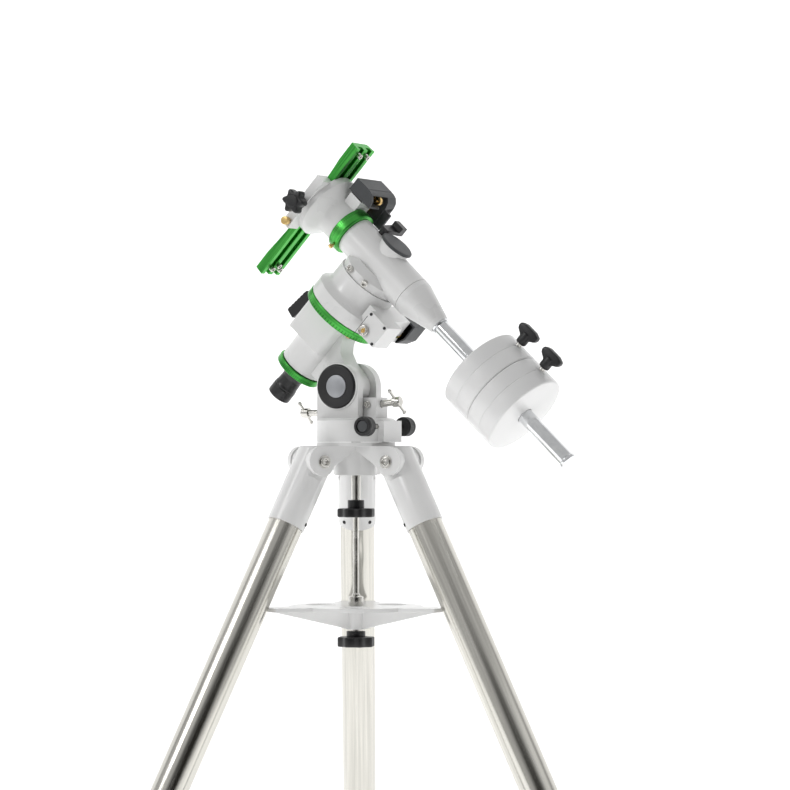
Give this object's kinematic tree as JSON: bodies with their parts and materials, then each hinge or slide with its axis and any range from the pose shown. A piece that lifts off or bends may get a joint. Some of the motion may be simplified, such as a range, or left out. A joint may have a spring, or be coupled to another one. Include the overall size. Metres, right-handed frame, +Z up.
{
  "type": "equatorial telescope mount",
  "caption": "German equatorial mount with green setting circles, dovetail saddle and counterweights on a steel tube tripod with accessory tray.",
  "frame": {"origin": "on the floor, at the middle of the whole object's footprint box; the azimuth axis stands at X = -0.096 m", "axes": "+Z up; +X north, the side the polar axis rises towards; +Y away from the viewer's left, so near pieces have negative Y"},
  "size_m": [0.6157, 0.7046, 1.0429],
  "materials": {
    "white_paint": "gloss white enamel",
    "white_iron": "gloss white enamel on cast iron",
    "tube_steel": "brushed stainless tube",
    "black_plastic": "black, lightly glossy",
    "grey_plastic": "dark grey, fine texture",
    "rubber": "matt black",
    "nickel": "nickel plate",
    "green_anodised": "green anodised, semi-gloss",
    "brass": "machined",
    "shaft_steel": "ground steel",
    "chrome": "polished chrome"
  },
  "bodies": {
    "hub": {"tripod_hub": "white_paint"},
    "mounting_bolt": {"mounting_bolt": "nickel"},
    "tray": {"spreader_tray": "white_paint"},
    "tray_knob": {"tray_knob": "black_plastic"},
    "leg_north": {"leg_north_casting": "white_paint", "leg_north_upper_tube": "tube_steel", "leg_north_collar": "black_plastic"},
    "leg_north_lower": {"leg_north_lower_tube": "tube_steel", "leg_north_foot": "rubber"},
    "leg_north_lock": {"leg_north_lock_knob": "black_plastic"},
    "leg_far": {"leg_far_casting": "white_paint", "leg_far_upper_tube": "tube_steel", "leg_far_collar": "black_plastic"},
    "leg_far_lower": {"leg_far_lower_tube": "tube_steel", "leg_far_foot": "rubber"},
    "leg_far_lock": {"leg_far_lock_knob": "black_plastic"},
    "leg_near": {"leg_near_casting": "white_paint", "leg_near_upper_tube": "tube_steel", "leg_near_collar": "black_plastic"},
    "leg_near_lower": {"leg_near_lower_tube": "tube_steel", "leg_near_foot": "rubber"},
    "leg_near_lock": {"leg_near_lock_knob": "black_plastic"},
    "azimuth": {"azimuth_base": "white_paint", "altitude_pivot_bolt": "black_plastic", "altitude_cap": "black_plastic"},
    "azimuth_screw_near": {"azimuth_screw_near": "nickel"},
    "azimuth_knob_near": {"azimuth_knob_near": "black_plastic"},
    "azimuth_screw_far": {"azimuth_screw_far": "nickel"},
    "azimuth_knob_far": {"azimuth_knob_far": "black_plastic"},
    "polar": {"polar_housing": "white_paint", "ra_worm_wheel": "brass"},
    "altitude_screw_north": {"altitude_screw_north": "nickel"},
    "altitude_handle_north": {"altitude_handle_north": "nickel"},
    "altitude_screw_south": {"altitude_screw_south": "nickel"},
    "altitude_handle_south": {"altitude_handle_south": "nickel"},
    "date_ring": {"date_ring": "green_anodised"},
    "polar_scope": {"polar_scope": "black_plastic"},
    "ra_clutch_lever": {"ra_clutch_lever": "black_plastic"},
    "ra_setting_circle": {"ra_setting_circle": "green_anodised"},
    "ra_worm": {"ra_worm": "brass"},
    "dec_clutch_lever": {"dec_clutch_lever": "black_plastic"},
    "polar_cap": {"polar_cap": "grey_plastic"},
    "dec_setting_circle": {"dec_setting_circle": "green_anodised"},
    "dec_worm": {"dec_worm": "brass"},
    "dovetail_bar": {"dovetail_bar": "green_anodised"},
    "saddle_clamp_knob": {"saddle_clamp_knob": "black_plastic"},
    "saddle_safety_screw": {"saddle_safety_screw": "brass"},
    "ra_head": {"ra_head": "white_paint", "ra_motor_cover": "grey_plastic", "dec_housing": "white_paint", "dec_worm_wheel": "brass"},
    "dec": {"dec_shaft": "shaft_steel", "saddle": "white_paint", "dec_drive_cover": "grey_plastic", "shaft_cone": "white_paint", "counterweight_bar": "chrome"},
    "counterweight_upper": {"counterweight_upper": "white_iron"},
    "counterweight_knob_upper": {"counterweight_knob_upper": "black_plastic"},
    "counterweight_lower": {"counterweight_lower": "white_iron"},
    "counterweight_knob_lower": {"counterweight_knob_lower": "black_plastic"}
  },
  "joints": [
    {"name": "mounting_bolt_turn", "type": "hinge", "parent": "hub", "child": "mounting_bolt", "pos_m": [-0.096, 0, 0.58], "axis": [0, 0, 1], "continuous": true},
    {"name": "tray_removal", "type": "slide", "parent": "hub", "child": "tray", "axis": [0, 0, -1], "range_m": [0, 0.64]},
    {"name": "tray_knob_turn", "type": "hinge", "parent": "tray", "child": "tray_knob", "pos_m": [-0.096, 0, 0.415], "axis": [0, 0, 1], "continuous": true},
    {"name": "leg_north_fold", "type": "hinge", "parent": "hub", "child": "leg_north", "pos_m": [-0.0345, 0, 0.64], "axis": [0, 1, 0], "range_deg": [0, 18.2]},
    {"name": "leg_north_extend", "type": "slide", "parent": "leg_north", "child": "leg_north_lower", "axis": [0.4446, 0, -0.8957], "range_m": [0, 0.4]},
    {"name": "leg_north_lock_turn", "type": "hinge", "parent": "leg_north", "child": "leg_north_lock", "pos_m": [0.25318, 0, 0.06047], "axis": [0.8957, 0, 0.4446], "continuous": true},
    {"name": "leg_far_fold", "type": "hinge", "parent": "hub", "child": "leg_far", "pos_m": [-0.12675, 0.05326, 0.64], "axis": [-0.866, -0.5, 0], "range_deg": [0, 18.2]},
    {"name": "leg_far_extend", "type": "slide", "parent": "leg_far", "child": "leg_far_lower", "axis": [-0.2223, 0.3851, -0.8957], "range_m": [0, 0.4]},
    {"name": "leg_far_lock_turn", "type": "hinge", "parent": "leg_far", "child": "leg_far_lock", "pos_m": [-0.27059, 0.3024, 0.06047], "axis": [-0.4479, 0.7757, 0.4446], "continuous": true},
    {"name": "leg_near_fold", "type": "hinge", "parent": "hub", "child": "leg_near", "pos_m": [-0.12675, -0.05326, 0.64], "axis": [0.866, -0.5, 0], "range_deg": [0, 18.2]},
    {"name": "leg_near_extend", "type": "slide", "parent": "leg_near", "child": "leg_near_lower", "axis": [-0.2223, -0.3851, -0.8957], "range_m": [0, 0.4]},
    {"name": "leg_near_lock_turn", "type": "hinge", "parent": "leg_near", "child": "leg_near_lock", "pos_m": [-0.27059, -0.3024, 0.06047], "axis": [-0.4479, -0.7757, 0.4446], "continuous": true},
    {"name": "azimuth", "type": "hinge", "parent": "hub", "child": "azimuth", "pos_m": [-0.096, 0, 0.68], "axis": [0, 0, 1], "range_deg": [-6, 6]},
    {"name": "azimuth_screw_near", "type": "slide", "parent": "azimuth", "child": "azimuth_screw_near", "axis": [0, 1, 0], "range_m": [-0.0046, 0.0046]},
    {"name": "azimuth_knob_near", "type": "hinge", "parent": "azimuth_screw_near", "child": "azimuth_knob_near", "pos_m": [-0.053, -0.047, 0.6845], "axis": [0, 1, 0], "continuous": true},
    {"name": "azimuth_screw_far", "type": "slide", "parent": "azimuth", "child": "azimuth_screw_far", "axis": [0, 1, 0], "range_m": [-0.0046, 0.0046]},
    {"name": "azimuth_knob_far", "type": "hinge", "parent": "azimuth_screw_far", "child": "azimuth_knob_far", "pos_m": [-0.053, 0.047, 0.6845], "axis": [0, 1, 0], "continuous": true},
    {"name": "altitude", "type": "hinge", "parent": "azimuth", "child": "polar", "pos_m": [-0.106, 0, 0.735], "axis": [0, -1, 0], "range_deg": [-21, 13]},
    {"name": "altitude_screw_north", "type": "slide", "parent": "azimuth", "child": "altitude_screw_north", "axis": [0.9925, 0, 0.1219], "range_m": [-0.0094, 0.0059]},
    {"name": "altitude_handle_north", "type": "hinge", "parent": "altitude_screw_north", "child": "altitude_handle_north", "pos_m": [-0.03622, 0, 0.71566], "axis": [0.9925, 0, 0.1219], "continuous": true},
    {"name": "altitude_screw_south", "type": "slide", "parent": "azimuth", "child": "altitude_screw_south", "axis": [1, 0, 0], "range_m": [-0.0122, 0.0076]},
    {"name": "altitude_handle_south", "type": "hinge", "parent": "altitude_screw_south", "child": "altitude_handle_south", "pos_m": [-0.171, 0, 0.702], "axis": [1, 0, 0], "continuous": true},
    {"name": "date_ring_turn", "type": "hinge", "parent": "polar", "child": "date_ring", "pos_m": [-0.17948, 0, 0.75946], "axis": [0.6858, 0, 0.7278], "continuous": true},
    {"name": "polar_scope_turn", "type": "hinge", "parent": "polar", "child": "polar_scope", "pos_m": [-0.19799, 0, 0.73981], "axis": [0.6858, 0, 0.7278], "continuous": true},
    {"name": "ra_clutch", "type": "hinge", "parent": "polar", "child": "ra_clutch_lever", "pos_m": [-0.15942, 0, 0.84636], "axis": [-0.7278, 0, 0.6858], "range_deg": [-15, 35]},
    {"name": "ra_axis", "type": "hinge", "parent": "polar", "child": "ra_head", "pos_m": [-0.0574, 0, 0.889], "axis": [0.6858, 0, 0.7278], "range_deg": [-140, 140]},
    {"name": "ra_setting_circle_turn", "type": "hinge", "parent": "ra_head", "child": "ra_setting_circle", "pos_m": [-0.11501, 0, 0.82787], "axis": [0.6858, 0, 0.7278], "continuous": true},
    {"name": "ra_worm", "type": "hinge", "parent": "ra_head", "child": "ra_worm", "pos_m": [-0.05912, 0, 0.80406], "axis": [0, 1, 0], "continuous": true},
    {"name": "dec_clutch", "type": "hinge", "parent": "ra_head", "child": "dec_clutch_lever", "pos_m": [-0.05414, 0.004, 0.93402], "axis": [0.6858, 0, 0.7278], "range_deg": [-15, 15]},
    {"name": "polar_cap_removal", "type": "slide", "parent": "ra_head", "child": "polar_cap", "axis": [0.6858, 0, 0.7278], "range_m": [0, 0.03]},
    {"name": "dec_setting_circle_turn", "type": "hinge", "parent": "ra_head", "child": "dec_setting_circle", "pos_m": [-0.10325, 0, 0.93221], "axis": [0.7278, 0, -0.6858], "continuous": true},
    {"name": "dec_axis", "type": "hinge", "parent": "ra_head", "child": "dec", "pos_m": [-0.0574, 0, 0.889], "axis": [0.7278, 0, -0.6858], "continuous": true},
    {"name": "dec_worm", "type": "hinge", "parent": "dec", "child": "dec_worm", "pos_m": [-0.09541, 0, 0.96823], "axis": [0, 1, 0], "continuous": true},
    {"name": "dovetail_slide", "type": "slide", "parent": "dec", "child": "dovetail_bar", "axis": [0.6858, 0, 0.7278], "range_m": [-0.06, 0.06]},
    {"name": "saddle_clamp", "type": "hinge", "parent": "dec", "child": "saddle_clamp_knob", "pos_m": [-0.14816, -0.06, 0.96766], "axis": [0, 1, 0], "continuous": true},
    {"name": "saddle_safety", "type": "hinge", "parent": "dec", "child": "saddle_safety_screw", "pos_m": [-0.16942, -0.049, 0.9451], "axis": [0, 1, 0], "continuous": true},
    {"name": "counterweight_upper_slide", "type": "slide", "parent": "dec", "child": "counterweight_upper", "axis": [0.7278, 0, -0.6858], "range_m": [-0.07, 0]},
    {"name": "counterweight_knob_upper_turn", "type": "hinge", "parent": "counterweight_upper", "child": "counterweight_knob_upper", "pos_m": [0.14891, 0, 0.79626], "axis": [0.6858, 0, 0.7278], "continuous": true},
    {"name": "counterweight_lower_slide", "type": "slide", "parent": "dec", "child": "counterweight_lower", "axis": [0.7278, 0, -0.6858], "range_m": [0, 0.075]},
    {"name": "counterweight_knob_lower_turn", "type": "hinge", "parent": "counterweight_lower", "child": "counterweight_knob_lower", "pos_m": [0.18079, 0, 0.76622], "axis": [0.6858, 0, 0.7278], "continuous": true}
  ],
  "couplings": [
    {"joint": "leg_north_fold", "follows": "tray_removal", "rad_per_m": 0.49},
    {"joint": "leg_far_fold", "follows": "tray_removal", "rad_per_m": 0.49},
    {"joint": "leg_near_fold", "follows": "tray_removal", "rad_per_m": 0.49},
    {"joint": "azimuth_screw_near", "follows": "azimuth", "m_per_rad": -0.043},
    {"joint": "azimuth_knob_near", "follows": "azimuth", "ratio": 216.14},
    {"joint": "azimuth_screw_far", "follows": "azimuth", "m_per_rad": -0.043},
    {"joint": "azimuth_knob_far", "follows": "azimuth", "ratio": 216.14},
    {"joint": "altitude_screw_north", "follows": "altitude", "m_per_rad": 0.0255},
    {"joint": "altitude_handle_north", "follows": "altitude", "ratio": 106.81},
    {"joint": "altitude_screw_south", "follows": "altitude", "m_per_rad": 0.033},
    {"joint": "altitude_handle_south", "follows": "altitude", "ratio": 138.23},
    {"joint": "ra_worm", "follows": "ra_axis", "ratio": 144},
    {"joint": "dec_worm", "follows": "dec_axis", "ratio": 144}
  ]
}
